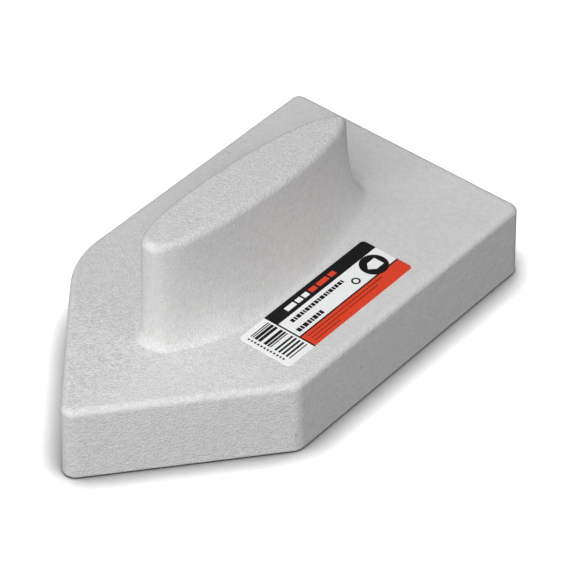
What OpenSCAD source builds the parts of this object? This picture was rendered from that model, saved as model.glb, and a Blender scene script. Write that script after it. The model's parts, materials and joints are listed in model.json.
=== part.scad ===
// Pointed plastering float in moulded bead foam: a thick five-sided plate with a
// block handle on its back, and a printed label stuck beside the handle.
// +X points to the nose, +Z up from the flat working face, which lies at Z = 0.

/* [Plate] */
// Overall length from the rear edge to the rounded nose
plate_length = 250; // [200:1:320]
// Overall width across the two long sides
plate_width = 142.5; // [134:0.5:180]
// Thickness of the plate
plate_thickness = 40.5; // [20:0.5:50]
// Angle between the two nose edges, in degrees
nose_angle = 80; // [70:0.5:100]
// Corner radius of the nose, seen from above
nose_radius = 6.5; // [5:0.5:12]
// Corner radius where the nose turns into the long side next to the label
near_shoulder_radius = 9; // [8:1:60]
// Corner radius where the nose turns into the other long side
far_shoulder_radius = 49; // [8:1:60]
// Radius of the two rear corners
rear_radius = 6; // [5:0.5:12]
// Radius of the rounded top edge
edge_radius = 3.5; // [1:0.5:4]
// Radius of the nearly sharp edge round the working face
base_radius = 1; // [0.2:0.1:1.5]
// How far the plate's walls lean in from the working face to the back
wall_lean = 0.8; // [0:0.1:0.9]

/* [Handle] */
// Length of the handle just under its crown
handle_length = 140; // [110:1:145]
// Widest width of the handle just under its crown
handle_width = 29.8; // [26:0.2:30.4]
// Height of the crown over the plate, as a mean of its two ends
handle_height = 55.4; // [49:0.2:65]
// Place of the handle's middle along the plate
handle_centre = -3.8; // [-12:0.2:0]
// Rise of the crown from its rear end to its nose end, in degrees
crown_slope = 3.8; // [0:0.2:6]
// How much the crown arches up between its two ends
crown_arch = 0.4; // [0:0.1:8]
// Radius of the crown's edge
crown_radius = 4; // [3:0.5:7]
// Slope of the handle's long walls, in degrees off vertical
side_draft = 4.8; // [0:0.1:4.8]
// Slope of the handle's nose end, in degrees off vertical
nose_draft = 0.5; // [0:0.1:4]
// Slope of the handle's rear end, in degrees off vertical
rear_draft = 2; // [0:0.2:5]
// Reach of the concave foot along the handle's long sides
side_foot_reach = 8.2; // [4:0.2:8.2]
// Height over which the long sides sweep out into the foot
side_foot_rise = 46; // [10:1:46]
// Reach of the concave foot at the handle's rear end
rear_foot_reach = 12; // [3:0.5:14]
// Height over which the rear end sweeps out into the foot
rear_foot_rise = 44; // [4:1:46]
// Reach of the concave foot at the handle's nose end
nose_foot_reach = 3; // [3:0.5:12]
// Height over which the nose end sweeps out into the foot
nose_foot_rise = 6; // [4:1:46]
// Fullness of the leaf-shaped outline's nose half: 2 is an ellipse, higher is blunter
nose_fullness = 2.5; // [2:0.05:3]
// Fullness of the outline's rear half
rear_fullness = 1.9; // [1.9:0.05:3]

/* [Label] */
// Length of the label, along the plate
label_length = 91; // [80:0.5:96]
// Width of the label, across the plate
label_width = 30.4; // [26:0.2:32]
// Corner radius of the label
label_radius = 2.2; // [1:0.1:3]
// Thickness of the label's film
film_thickness = 0.2; // [0.1:0.05:0.4]
// Thickness of the printed areas on the film
print_thickness = 0.05; // [0.03:0.01:0.1]
// Place of the label's middle along the plate
label_x = -8.6; // [-20:0.2:0]
// Place of the label's middle across the plate
label_y = 43.6; // [43.6:0.1:48]
// Share of the label's length that the barcode field takes at the nose end
code_share = 0.2; // [0.16:0.01:0.24]
// Share of the label's width that the black title band takes
band_share = 0.26; // [0.2:0.01:0.3]
// Share of the label's width that the red panel takes
panel_share = 0.29; // [0.24:0.01:0.32]
// Width of the thin black rules
rule_width = 0.9; // [0.5:0.1:1.4]

/* [Hidden] */
$fn = 48;

foam = "gainsboro";
film_white = "white";
ink_black = [0.08, 0.08, 0.08];
ink_red = [0.85, 0.2, 0.1];

half_length = plate_length / 2;
half_width = plate_width / 2;
nose_normal = 90 - nose_angle / 2;
wall_top = handle_height - crown_radius;

// Steps round the turns of the plate and the handle, and up their rounded edges
corner_steps = 8;
shoulder_steps = 12;
fillet_steps = 6;
outline_steps = 84;
foot_steps = 14;

// ---- closed solids from stacked rings ----

// Walls and bottom of a solid whose rings all hold n points, counter-clockwise from above,
// bottom ring first
function wall_faces(n, rings) = concat(
    [[for (i = [0:n - 1]) i]],
    [for (r = [0:rings - 2], i = [0:n - 1])
        [r * n + i, (r + 1) * n + i, (r + 1) * n + (i + 1) % n, r * n + (i + 1) % n]]
);

// Top of such a solid where its last ring is flat
function flat_top(n, rings) = [[for (i = [n - 1:-1:0]) (rings - 1) * n + i]];

// Top where the last ring arches along X: strips across it, each one flat
function arched_top(n, rings) = let (first = (rings - 1) * n) concat(
    [[first, first + n - 1, first + 1]],
    [for (i = [1:n / 2 - 2])
        [first + i, first + n - i, first + n - i - 1, first + i + 1]],
    [[first + n / 2 - 1, first + n / 2 + 1, first + n / 2]]
);

module ring_solid(rings, arched = false) {
    n = len(rings[0]);
    top = arched ? arched_top(n, len(rings)) : flat_top(n, len(rings));
    polyhedron(points = [for (ring = rings) each ring],
               faces = concat(wall_faces(n, len(rings)), top), convexity = 4);
}

// ---- plate ----

function arc(centre, radius, from, to, steps) =
    [for (i = [0:steps]) let (a = from + (to - from) * i / steps)
        centre + radius * [cos(a), sin(a)]];

// Distance of a nose edge from the origin, along its own normal
nose_reach = (half_length - nose_radius) * cos(nose_normal) + nose_radius;

// Centre of a shoulder of some radius on the +Y side
function shoulder_centre(radius) =
    [(nose_reach - radius - (half_width - radius) * sin(nose_normal)) / cos(nose_normal),
     half_width - radius];

// The plate's outline moved inwards by inset, counter-clockwise from above
function plate_outline(inset) = let (
    nose = [half_length - nose_radius, 0],
    near = shoulder_centre(near_shoulder_radius),
    far = shoulder_centre(far_shoulder_radius),
    rear = [-half_length + rear_radius, half_width - rear_radius]
) concat(
    arc(nose, nose_radius - inset, -nose_normal, nose_normal, corner_steps),
    arc(near, near_shoulder_radius - inset, nose_normal, 90, shoulder_steps),
    arc(rear, rear_radius - inset, 90, 180, corner_steps),
    arc([rear.x, -rear.y], rear_radius - inset, 180, 270, corner_steps),
    arc([far.x, -far.y], far_shoulder_radius - inset, 270, 360 - nose_normal, shoulder_steps)
);

function at_height(outline, z) = [for (p = outline) [p.x, p.y, z]];

module plate() {
    base = [for (i = [0:fillet_steps]) let (a = 90 * i / fillet_steps)
        at_height(plate_outline(base_radius * (1 - sin(a))), base_radius * (1 - cos(a)))];
    top = [for (i = [0:fillet_steps]) let (a = 90 * i / fillet_steps)
        at_height(plate_outline(wall_lean + edge_radius * (1 - cos(a))),
                  plate_thickness - edge_radius * (1 - sin(a)))];
    color(foam) ring_solid(concat(base, top));
}

// ---- handle ----

function signed_power(v, p) = sign(v) * pow(abs(v), p);

// How far a concave foot of some reach and rise stands out at a height
function sweep(z, reach, rise) = z < rise ? reach * (1 - sqrt(1 - pow(1 - z / rise, 2))) : 0;

// Rises smoothly from 0 at low to 1 at high
function ease(v, low, high) = let (t = min(max((v - low) / (high - low), 0), 1)) t * t * (3 - 2 * t);

// Reach of the long sides' foot at a height: it dies out round the nose end
function side_sweep(z, along) = let (nosed = ease(along, 0.5, 0.95))
    sweep(z, side_foot_reach, side_foot_rise) * (1 - nosed)
    + sweep(z, nose_foot_reach, nose_foot_rise) * nosed;

function end_sweep(z, along) = along > 0
    ? sweep(z, nose_foot_reach, nose_foot_rise)
    : sweep(z, rear_foot_reach, rear_foot_rise);

// One ring of the handle at a height z: its leaf-shaped outline, grown by grow, by the slope of
// its walls and by its foot. The rings bend evenly from the flat foot to the arched crown.
function handle_ring(z, grow = 0) = [for (i = [0:outline_steps - 1]) let (
    a = 360 * i / outline_steps,
    fullness = cos(a) > 0 ? nose_fullness : rear_fullness,
    along = signed_power(cos(a), 2 / fullness),
    across = signed_power(sin(a), 2 / fullness),
    fall = max(wall_top - z, 0),
    end_draft = along > 0 ? nose_draft : rear_draft,
    x = (handle_length / 2 + grow + fall * tan(end_draft) + end_sweep(z, along)) * along,
    y = (handle_width / 2 + grow + fall * tan(side_draft) + side_sweep(z, along)) * across,
    arch = crown_arch * (1 - along * along)
) [handle_centre + x, y,
   plate_thickness + z * (1 + (arch + x * tan(crown_slope)) / handle_height)]];

// The rings stand closer together towards the foot, where the walls turn fastest
module handle() {
    walls = [for (i = [0:foot_steps - 1]) handle_ring(wall_top * pow(i / foot_steps, 2))];
    crown = [for (i = [0:fillet_steps]) let (a = 90 * i / fillet_steps)
        handle_ring(wall_top + crown_radius * sin(a), -crown_radius * (1 - cos(a)))];
    color(foam) ring_solid(concat(walls, crown), arched = true);
}

// ---- label ----
// The label's own axes: u runs from its nose end to its rear end, v from the handle's side
// to the plate's long side, both measured from the corner nearest the nose and the handle.

film_top = plate_thickness + film_thickness;
code_length = label_length * code_share;
band_width = label_width * band_share;
panel_width = label_width * panel_share;

// Puts a flat drawing in u and v on the film, print_thickness high
module printed() {
    translate([label_x + label_length / 2, label_y - label_width / 2, film_top])
        mirror([1, 0, 0])
            linear_extrude(print_thickness) children();
}

module rounded_rectangle(size, radius) {
    translate([radius, 0]) square([size.x - 2 * radius, size.y]);
    translate([0, radius]) square([size.x, size.y - 2 * radius]);
    for (u = [radius, size.x - radius], v = [radius, size.y - radius])
        translate([u, v]) circle(radius);
}

module label_area(u, v, length, width) {
    intersection() {
        rounded_rectangle([label_length, label_width], label_radius);
        translate([u, v]) square([length, width]);
    }
}

module label_film() {
    color(film_white)
        translate([label_x - label_length / 2, label_y - label_width / 2, plate_thickness])
            linear_extrude(film_thickness)
                rounded_rectangle([label_length, label_width], label_radius);
}

// Title band, the rule beside the barcode and the rule above the red panel
module label_black_print() {
    color(ink_black) printed() {
        label_area(code_length, 0, label_length, band_width);
        label_area(code_length, 0, rule_width, label_width);
        label_area(code_length, label_width - panel_width - rule_width, label_length, rule_width);
    }
}

module label_red_panel() {
    color(ink_red) printed()
        label_area(code_length + rule_width, label_width - panel_width, label_length, panel_width);
}

// Bars of the barcode run along u and are stacked across the label; each entry is a bar
// and the gap after it, in steps of the code
code_bars = [[1, 1], [1, 1], [3, 1], [3, 3], [3, 1], [2, 1], [1, 4], [2, 2], [2, 2], [2, 2],
             [2, 2], [1, 1]];
code_start = 0.25 * code_length;
code_end = 0.94 * code_length;
code_margin = 0.11 * label_width;

function steps_before(i) = i == 0 ? 0 : code_bars[i - 1][0] + code_bars[i - 1][1] + steps_before(i - 1);

module label_barcode() {
    last = len(code_bars) - 1;
    step = (label_width - 2 * code_margin) / (steps_before(last) + code_bars[last][0]);
    color(ink_black) printed()
        for (i = [0:last])
            translate([code_start, code_margin + step * steps_before(i)])
                square([code_end - code_start, step * code_bars[i][0]]);
}

// Plain dashes in place of wording, as [start along u, place along v, length, width]
mark_height = 1.5;
caption_marks = [[26, 11.2, 7], [34.2, 11.2, 4], [39.6, 11.2, 9], [50, 11.2, 8.5],
                 [24.5, 17, 5.5], [31.2, 17, 9]];

module label_marks() {
    color(ink_black) printed() {
        for (mark = caption_marks)
            translate([mark[0], mark[1]]) square([mark[2], mark_height]);
        translate([label_length * 0.725, label_width * 0.53])
            difference() {
                circle(2.3);
                circle(1.5);
            }
    }
}

// A disc beside the captions, which carries a plain outline of the float
emblem_radius = 7.2;

module label_emblem() {
    color(ink_black) printed()
        translate([label_length * 0.885, label_width * 0.5])
            difference() {
                circle(emblem_radius);
                polygon([[-4.5, 0], [-1.5, -3], [4, -3], [4, 3], [-1.5, 3]]);
            }
}

plate();
handle();
label_film();
label_black_print();
label_red_panel();
label_barcode();
label_marks();
label_emblem();
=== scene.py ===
"""Pointed plastering float in moulded bead foam, with its stuck-on label, on a pale floor.

Lengths of the tool are in millimetres in the classes below and become metres in the meshes.
The nose points along +X, and the label lies on the +Y side of the handle.
"""

import json
import logging
from dataclasses import dataclass, field
from enum import Enum
from math import asin, ceil, copysign, cos, hypot, pi, radians, sin, sqrt, tan
from typing import Any, Callable, Iterable, Optional, Sequence

import bmesh
import bpy
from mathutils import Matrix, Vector
from mathutils.geometry import delaunay_2d_cdt

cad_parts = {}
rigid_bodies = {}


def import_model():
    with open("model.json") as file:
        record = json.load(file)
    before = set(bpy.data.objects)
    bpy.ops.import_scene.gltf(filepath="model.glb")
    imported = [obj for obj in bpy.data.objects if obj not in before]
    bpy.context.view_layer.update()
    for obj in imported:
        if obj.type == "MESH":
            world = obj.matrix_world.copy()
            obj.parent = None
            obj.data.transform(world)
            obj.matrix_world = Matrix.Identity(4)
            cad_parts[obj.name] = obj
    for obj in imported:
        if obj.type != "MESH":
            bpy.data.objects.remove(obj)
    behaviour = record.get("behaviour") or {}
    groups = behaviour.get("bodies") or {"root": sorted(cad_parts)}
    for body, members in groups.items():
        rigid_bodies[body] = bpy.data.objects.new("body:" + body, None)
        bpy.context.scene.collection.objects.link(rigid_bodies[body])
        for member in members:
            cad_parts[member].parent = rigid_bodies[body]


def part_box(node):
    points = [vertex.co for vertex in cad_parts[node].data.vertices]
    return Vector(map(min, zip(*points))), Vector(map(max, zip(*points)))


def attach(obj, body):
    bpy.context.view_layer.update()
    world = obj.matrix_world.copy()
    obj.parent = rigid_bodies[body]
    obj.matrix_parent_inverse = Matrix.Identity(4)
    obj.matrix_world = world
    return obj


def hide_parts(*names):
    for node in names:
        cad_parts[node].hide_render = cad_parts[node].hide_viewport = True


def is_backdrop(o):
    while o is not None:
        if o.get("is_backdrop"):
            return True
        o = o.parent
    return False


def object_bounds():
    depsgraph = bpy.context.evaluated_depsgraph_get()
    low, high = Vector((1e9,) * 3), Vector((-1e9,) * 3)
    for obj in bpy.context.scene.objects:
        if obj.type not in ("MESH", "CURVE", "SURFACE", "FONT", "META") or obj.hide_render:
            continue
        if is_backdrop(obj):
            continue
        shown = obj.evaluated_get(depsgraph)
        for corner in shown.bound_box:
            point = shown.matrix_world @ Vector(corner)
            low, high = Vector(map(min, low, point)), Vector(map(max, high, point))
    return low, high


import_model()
CAD_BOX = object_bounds()

LOG = logging.getLogger("float")
MM = 0.001
BODY = "root"
# the skin of the plate's back is smooth behind the first place along it and rough before the second
SMOOTH_UP_TO, ROUGH_FROM = -30.0, 60.0
SMOOTH_PEEL, PEEL_GAIN = 0.26, 0.5
RELIEF_SEED = 7
WAVE_DEPTH = 0.1

Colour = tuple[float, float, float]
Flat = tuple[float, float]


class Slot(Enum):
    """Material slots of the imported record."""

    FOAM = "bead_foam"
    FILM = "label_film"
    BLACK = "black_ink"
    RED = "red_ink"


# ---- node trees ----


class Tree:
    """A node tree that is filled in step by step."""

    def __init__(self, tree: bpy.types.NodeTree) -> None:
        """Starts on an empty tree."""
        self.tree = tree
        tree.nodes.clear()

    def add(self, kind: str, inputs: Optional[dict[Any, Any]] = None, **fields: Any) -> bpy.types.Node:
        """Adds one node.

        Args:
            kind: The node's type name.
            inputs: A value or another node's output for each named or numbered input.
            fields: The node's own settings.

        Returns:
            The new node.
        """
        node = self.tree.nodes.new(kind)
        for name, value in fields.items():
            setattr(node, name, value)
        for key, value in (inputs or {}).items():
            if isinstance(value, bpy.types.NodeSocket):
                self.tree.links.new(value, node.inputs[key])
            else:
                node.inputs[key].default_value = value
        return node

    def maths(self, operation: str, *values: Any, clamp: bool = False) -> bpy.types.NodeSocket:
        """Adds one sum.

        Args:
            operation: The kind of sum, such as MULTIPLY_ADD.
            values: Numbers or the sockets that give them, in order.
            clamp: Whether the result is held between 0 and 1.

        Returns:
            The socket with the result.
        """
        node = self.add("ShaderNodeMath", dict(enumerate(values)), operation=operation)
        node.use_clamp = clamp
        return node.outputs[0]

    def ramp(self, value: Any, low: float, high: float, to_low: float = 0.0, to_high: float = 1.0
             ) -> bpy.types.NodeSocket:
        """Eases a value from one range into another.

        Args:
            value: The value.
            low: Where the first range starts.
            high: Where it ends.
            to_low: Where the second range starts.
            to_high: Where it ends.

        Returns:
            The socket with the result.
        """
        node = self.add(
            "ShaderNodeMapRange",
            {"Value": value, "From Min": low, "From Max": high, "To Min": to_low, "To Max": to_high},
            interpolation_type="SMOOTHSTEP",
        )
        return node.outputs["Result"]

    def noise(self, vector: Any, scale: float, detail: float = 2.0, seed: Any = 0.0,
              roughness: float = 0.5) -> bpy.types.NodeSocket:
        """Adds four-way noise.

        Args:
            vector: The place.
            scale: How many swells there are to a unit.
            detail: How many finer layers there are.
            seed: The fourth way, which picks the pattern.
            roughness: How strong the finer layers are.

        Returns:
            The socket with the noise.
        """
        node = self.add(
            "ShaderNodeTexNoise",
            {"Vector": vector, "W": seed, "Scale": scale, "Detail": detail, "Roughness": roughness},
            noise_dimensions="4D",
        )
        return node.outputs["Fac"]

    def cells(self, vector: Any, scale: float, feature: str = "SMOOTH_F1") -> bpy.types.Node:
        """Adds a cell pattern.

        Args:
            vector: The place.
            scale: How many cells there are to a unit.
            feature: What is measured, such as F1.

        Returns:
            The pattern's node.
        """
        node = self.add("ShaderNodeTexVoronoi", {"Vector": vector, "Scale": scale}, feature=feature)
        if feature == "SMOOTH_F1":
            node.inputs["Smoothness"].default_value = 0.35
        return node


def group_socket(tree: bpy.types.NodeTree, name: str, kind: str, default: Any = None,
                 output: bool = False) -> Any:
    """Adds a named input or output to a group.

    Args:
        tree: The group.
        name: The socket's name.
        kind: Its type, such as Float.
        default: The value it starts from.
        output: Whether it is an output.

    Returns:
        The new interface socket.
    """
    side = "OUTPUT" if output else "INPUT"
    made = tree.interface.new_socket(name=name, in_out=side, socket_type=f"NodeSocket{kind}")
    if default is not None:
        made.default_value = default
    return made


def stand(name: str, data: bpy.types.ID) -> bpy.types.Object:
    """Puts a mesh, a light or a camera in the scene.

    Args:
        name: The object's name.
        data: What it shows.

    Returns:
        The new object, at the origin and unturned.
    """
    made = bpy.data.objects.new(name, data)
    bpy.context.scene.collection.objects.link(made)
    return made


# ---- shared effects of the finishes ----


def foam_skin_group() -> bpy.types.NodeTree:
    """Builds the skin of moulded bead foam: pressed beads, grain, blotches, scuffs and pits, with painted
    highlights and shade on the grain and painted shade in the pits.

    Returns:
        The group, which gives a tone that carries the painted highlights and shade, a roughness and a
        height.
    """
    tree = bpy.data.node_groups.new("foam skin", "ShaderNodeTree")
    group_socket(tree, "Vector", "Vector")
    for name, value in (("Bead Size", 1.2), ("Peel", 1.0), ("Mottle", 1.0), ("Scuffs", 0.0), ("Seed", 0.0)):
        group_socket(tree, name, "Float", value)
    for name in ("Tone", "Roughness", "Height"):
        group_socket(tree, name, "Float", output=True)
    work = Tree(tree)
    given = work.add("NodeGroupInput").outputs
    place = work.add("ShaderNodeVectorMath", {0: given["Vector"], "Scale": 1 / MM}, operation="SCALE")
    place = place.outputs["Vector"]
    per_bead = work.maths("DIVIDE", 1.0, given["Bead Size"])
    scaled = work.add("ShaderNodeVectorMath", {0: place, "Scale": per_bead}, operation="SCALE")
    scaled = scaled.outputs["Vector"]
    # a little drift bends the rows of beads out of line
    drift = work.add("ShaderNodeTexNoise", {"Vector": scaled, "Scale": 0.7, "Detail": 1.0})
    bent = work.add("ShaderNodeVectorMath", {0: scaled, 1: drift.outputs["Color"]}, operation="ADD")
    bent = bent.outputs["Vector"]
    beads = work.cells(bent, 1.0)
    dome = work.ramp(beads.outputs["Distance"], 0.1, 0.85, 1.0, 0.0)
    own = work.add("ShaderNodeSeparateColor", {"Color": beads.outputs["Color"]}).outputs[0]
    grain = work.noise(bent, 1.1, 3.0, given["Seed"], 0.65)
    fine = work.noise(place, 1.9, 2.0, given["Seed"], 0.6)
    swell = work.noise(place, 0.3, 3.0, given["Seed"], 0.6)
    # scuffs: raised slanting streaks, broken up by the grain
    slant = work.add(
        "ShaderNodeMapping",
        {"Vector": place, "Rotation": (0.0, 0.0, radians(32.0)), "Scale": (0.7, 1.8, 1.0)},
    )
    streaks = work.noise(slant.outputs["Vector"], 0.42, 4.0, given["Seed"], 0.7)
    streaks = work.maths("MULTIPLY", work.ramp(streaks, 0.5, 0.66), given["Scuffs"])
    # pits: a few sunken pinpricks between beads, painted darker as shade inside them
    pit = work.cells(place, 0.11, "F1")
    pit_and_painted_shade = work.ramp(pit.outputs["Distance"], 0.03, 0.055, 1.0, 0.0)
    chance = work.add("ShaderNodeSeparateColor", {"Color": pit.outputs["Color"]})
    pit_and_painted_shade = work.maths("MULTIPLY", pit_and_painted_shade, work.ramp(chance.outputs[0], 0.88, 0.9))
    height = work.maths("MULTIPLY", dome, 0.4)
    height = work.maths("MULTIPLY_ADD", grain, 1.0, height)
    height = work.maths("MULTIPLY", height, given["Peel"])
    height = work.maths("MULTIPLY_ADD", fine, 0.16, height)
    height = work.maths("MULTIPLY_ADD", streaks, 0.45, height)
    height = work.maths("MULTIPLY_ADD", pit_and_painted_shade, -0.6, height)
    tone = work.maths("MULTIPLY", work.maths("SUBTRACT", swell, 0.5), given["Mottle"])
    tone = work.maths("MULTIPLY_ADD", tone, 0.22, 1.0)
    bead_tone = work.maths("MULTIPLY", work.maths("SUBTRACT", own, 0.5), given["Peel"])
    tone = work.maths("MULTIPLY_ADD", bead_tone, 0.14, tone)
    # painted highlight and shade: the raised grain is painted lighter and its hollows darker, following the
    # height
    rise = work.maths("MULTIPLY", work.maths("SUBTRACT", grain, 0.5), given["Peel"])
    tone = work.maths("MULTIPLY_ADD", rise, 0.42, tone)
    # painted highlight: where the grain is highest the colour is painted lighter as glints; the same places
    # are also made glossier
    painted_glint = work.maths("MULTIPLY", work.ramp(grain, 0.6, 0.75), given["Peel"])
    tone = work.maths("MULTIPLY_ADD", painted_glint, 0.22, tone)
    speckle = work.maths("SUBTRACT", fine, 0.5)
    tone = work.maths("MULTIPLY_ADD", speckle, 0.42, tone)
    tone = work.maths("MULTIPLY_ADD", streaks, 0.1, tone)
    # painted shade inside the pits
    tone = work.maths("MULTIPLY_ADD", pit_and_painted_shade, -0.35, tone)
    rough = work.maths("MULTIPLY_ADD", painted_glint, -0.12, 0.62)
    work.add("NodeGroupOutput", {"Tone": tone, "Roughness": rough, "Height": height})
    return tree


def print_wear_group() -> bpy.types.NodeTree:
    """Builds the unevenness of printed film: a faint ripple, painted lighter on its swells and darker in
    its dips, rubbed patches and dust specks.

    Returns:
        The group, which gives a tone, a roughness and a height.
    """
    tree = bpy.data.node_groups.new("print wear", "ShaderNodeTree")
    group_socket(tree, "Vector", "Vector")
    for name, value in (("Base Roughness", 0.35), ("Rub", 0.5), ("Dust", 0.5)):
        group_socket(tree, name, "Float", value)
    for name in ("Tone", "Roughness", "Height"):
        group_socket(tree, name, "Float", output=True)
    work = Tree(tree)
    given = work.add("NodeGroupInput").outputs
    place = work.add("ShaderNodeVectorMath", {0: given["Vector"], "Scale": 1 / MM}, operation="SCALE")
    place = place.outputs["Vector"]
    ripple = work.noise(place, 0.16, 2.0, 3.0)
    rubbed = work.ramp(work.noise(place, 0.5, 4.0, 5.0, 0.65), 0.5, 0.75)
    rubbed = work.maths("MULTIPLY", rubbed, given["Rub"])
    specks = work.cells(place, 0.55, "F1")
    speck = work.ramp(specks.outputs["Distance"], 0.08, 0.14, 1.0, 0.0)
    speck = work.maths("MULTIPLY", speck, given["Dust"])
    # painted shade: the colour follows the ripple, lighter on its swells and darker in its dips
    tone = work.maths("MULTIPLY_ADD", work.maths("SUBTRACT", ripple, 0.5), 0.05, 1.0)
    tone = work.maths("MULTIPLY_ADD", rubbed, -0.05, tone)
    tone = work.maths("MULTIPLY_ADD", speck, -0.06, tone)
    rough = work.maths("MULTIPLY_ADD", rubbed, 0.25, given["Base Roughness"])
    height = work.maths("MULTIPLY_ADD", speck, 0.1, ripple)
    work.add("NodeGroupOutput", {"Tone": tone, "Roughness": rough, "Height": height})
    return tree


GROUPS: dict[str, Callable[[], bpy.types.NodeTree]] = {
    "foam skin": foam_skin_group,
    "print wear": print_wear_group,
}


def effect(name: str) -> bpy.types.NodeTree:
    """Gives a shared effect, built the first time it is asked for."""
    return bpy.data.node_groups.get(name) or GROUPS[name]()


# ---- finishes ----


@dataclass(frozen=True)
class FoamFinish:
    """Moulded bead foam. peel and scuff come from the piece's own attributes."""

    name: str
    colour: Colour = (0.7, 0.7, 0.696)
    bead_size: float = 1.2
    mottle: float = 1.0
    relief: float = 0.5
    seed: float = 0.0

    def material(self) -> bpy.types.Material:
        """Builds the material.

        Returns:
            The new material.
        """
        made = bpy.data.materials.new(self.name)
        made.use_nodes = True
        work = Tree(made.node_tree)
        place = work.add("ShaderNodeTexCoord").outputs["Object"]
        peel = work.add("ShaderNodeAttribute", attribute_name="peel").outputs["Fac"]
        scuff = work.add("ShaderNodeAttribute", attribute_name="scuff").outputs["Fac"]
        skin = work.add("ShaderNodeGroup", node_tree=effect("foam skin"))
        for key, value in (("Bead Size", self.bead_size), ("Mottle", self.mottle), ("Seed", self.seed)):
            skin.inputs[key].default_value = value
        for key, source in (("Vector", place), ("Peel", peel), ("Scuffs", scuff)):
            work.tree.links.new(source, skin.inputs[key])
        # the base colour is scaled by the skin's tone, which carries painted highlights and painted shade
        # of the grain and the pits
        colour = work.add(
            "ShaderNodeVectorMath", {0: self.colour, "Scale": skin.outputs["Tone"]}, operation="SCALE"
        )
        bump = work.add(
            "ShaderNodeBump",
            {"Strength": 1.0, "Distance": self.relief * MM, "Height": skin.outputs["Height"]},
        )
        surface = work.add(
            "ShaderNodeBsdfPrincipled",
            {
                "Base Color": colour.outputs["Vector"],
                "Roughness": skin.outputs["Roughness"],
                "Specular IOR Level": 0.35,
                "Normal": bump.outputs["Normal"],
            },
        )
        work.add("ShaderNodeOutputMaterial", {"Surface": surface.outputs["BSDF"]})
        return made


@dataclass(frozen=True)
class PrintFinish:
    """Printed or bare label film."""

    name: str
    colour: Colour
    roughness: float = 0.32
    rub: float = 0.5
    dust: float = 0.5
    ripple: float = 0.05

    def material(self) -> bpy.types.Material:
        """Builds the material.

        Returns:
            The new material.
        """
        made = bpy.data.materials.new(self.name)
        made.use_nodes = True
        work = Tree(made.node_tree)
        place = work.add("ShaderNodeTexCoord").outputs["Object"]
        wear = work.add("ShaderNodeGroup", node_tree=effect("print wear"))
        for key, value in (("Base Roughness", self.roughness), ("Rub", self.rub), ("Dust", self.dust)):
            wear.inputs[key].default_value = value
        work.tree.links.new(place, wear.inputs["Vector"])
        colour = work.add(
            "ShaderNodeVectorMath", {0: self.colour, "Scale": wear.outputs["Tone"]}, operation="SCALE"
        )
        bump = work.add(
            "ShaderNodeBump",
            {"Strength": 1.0, "Distance": self.ripple * MM, "Height": wear.outputs["Height"]},
        )
        surface = work.add(
            "ShaderNodeBsdfPrincipled",
            {
                "Base Color": colour.outputs["Vector"],
                "Roughness": wear.outputs["Roughness"],
                "Specular IOR Level": 0.22,
                "Normal": bump.outputs["Normal"],
            },
        )
        work.add("ShaderNodeOutputMaterial", {"Surface": surface.outputs["BSDF"]})
        return made


@dataclass
class Finishes:
    """All the finishes of the tool, each built once."""

    foam: FoamFinish = FoamFinish("bead foam")
    film: PrintFinish = PrintFinish("white film", (0.94, 0.95, 0.96))
    black: PrintFinish = PrintFinish("black print", (0.004, 0.0045, 0.005), roughness=0.6)
    red: PrintFinish = PrintFinish("red print", (0.8, 0.058, 0.018), roughness=0.5)
    made: dict[str, bpy.types.Material] = field(default_factory=dict)

    def of(self, slot: Slot) -> bpy.types.Material:
        """Gives the material of a slot, built the first time it is asked for.

        Args:
            slot: The slot.

        Returns:
            The material.
        """
        finishes = {Slot.FOAM: self.foam, Slot.FILM: self.film, Slot.BLACK: self.black, Slot.RED: self.red}
        finish = finishes[slot]
        if finish.name not in self.made:
            self.made[finish.name] = finish.material()
        return self.made[finish.name]


# ---- closed shells ----


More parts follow.
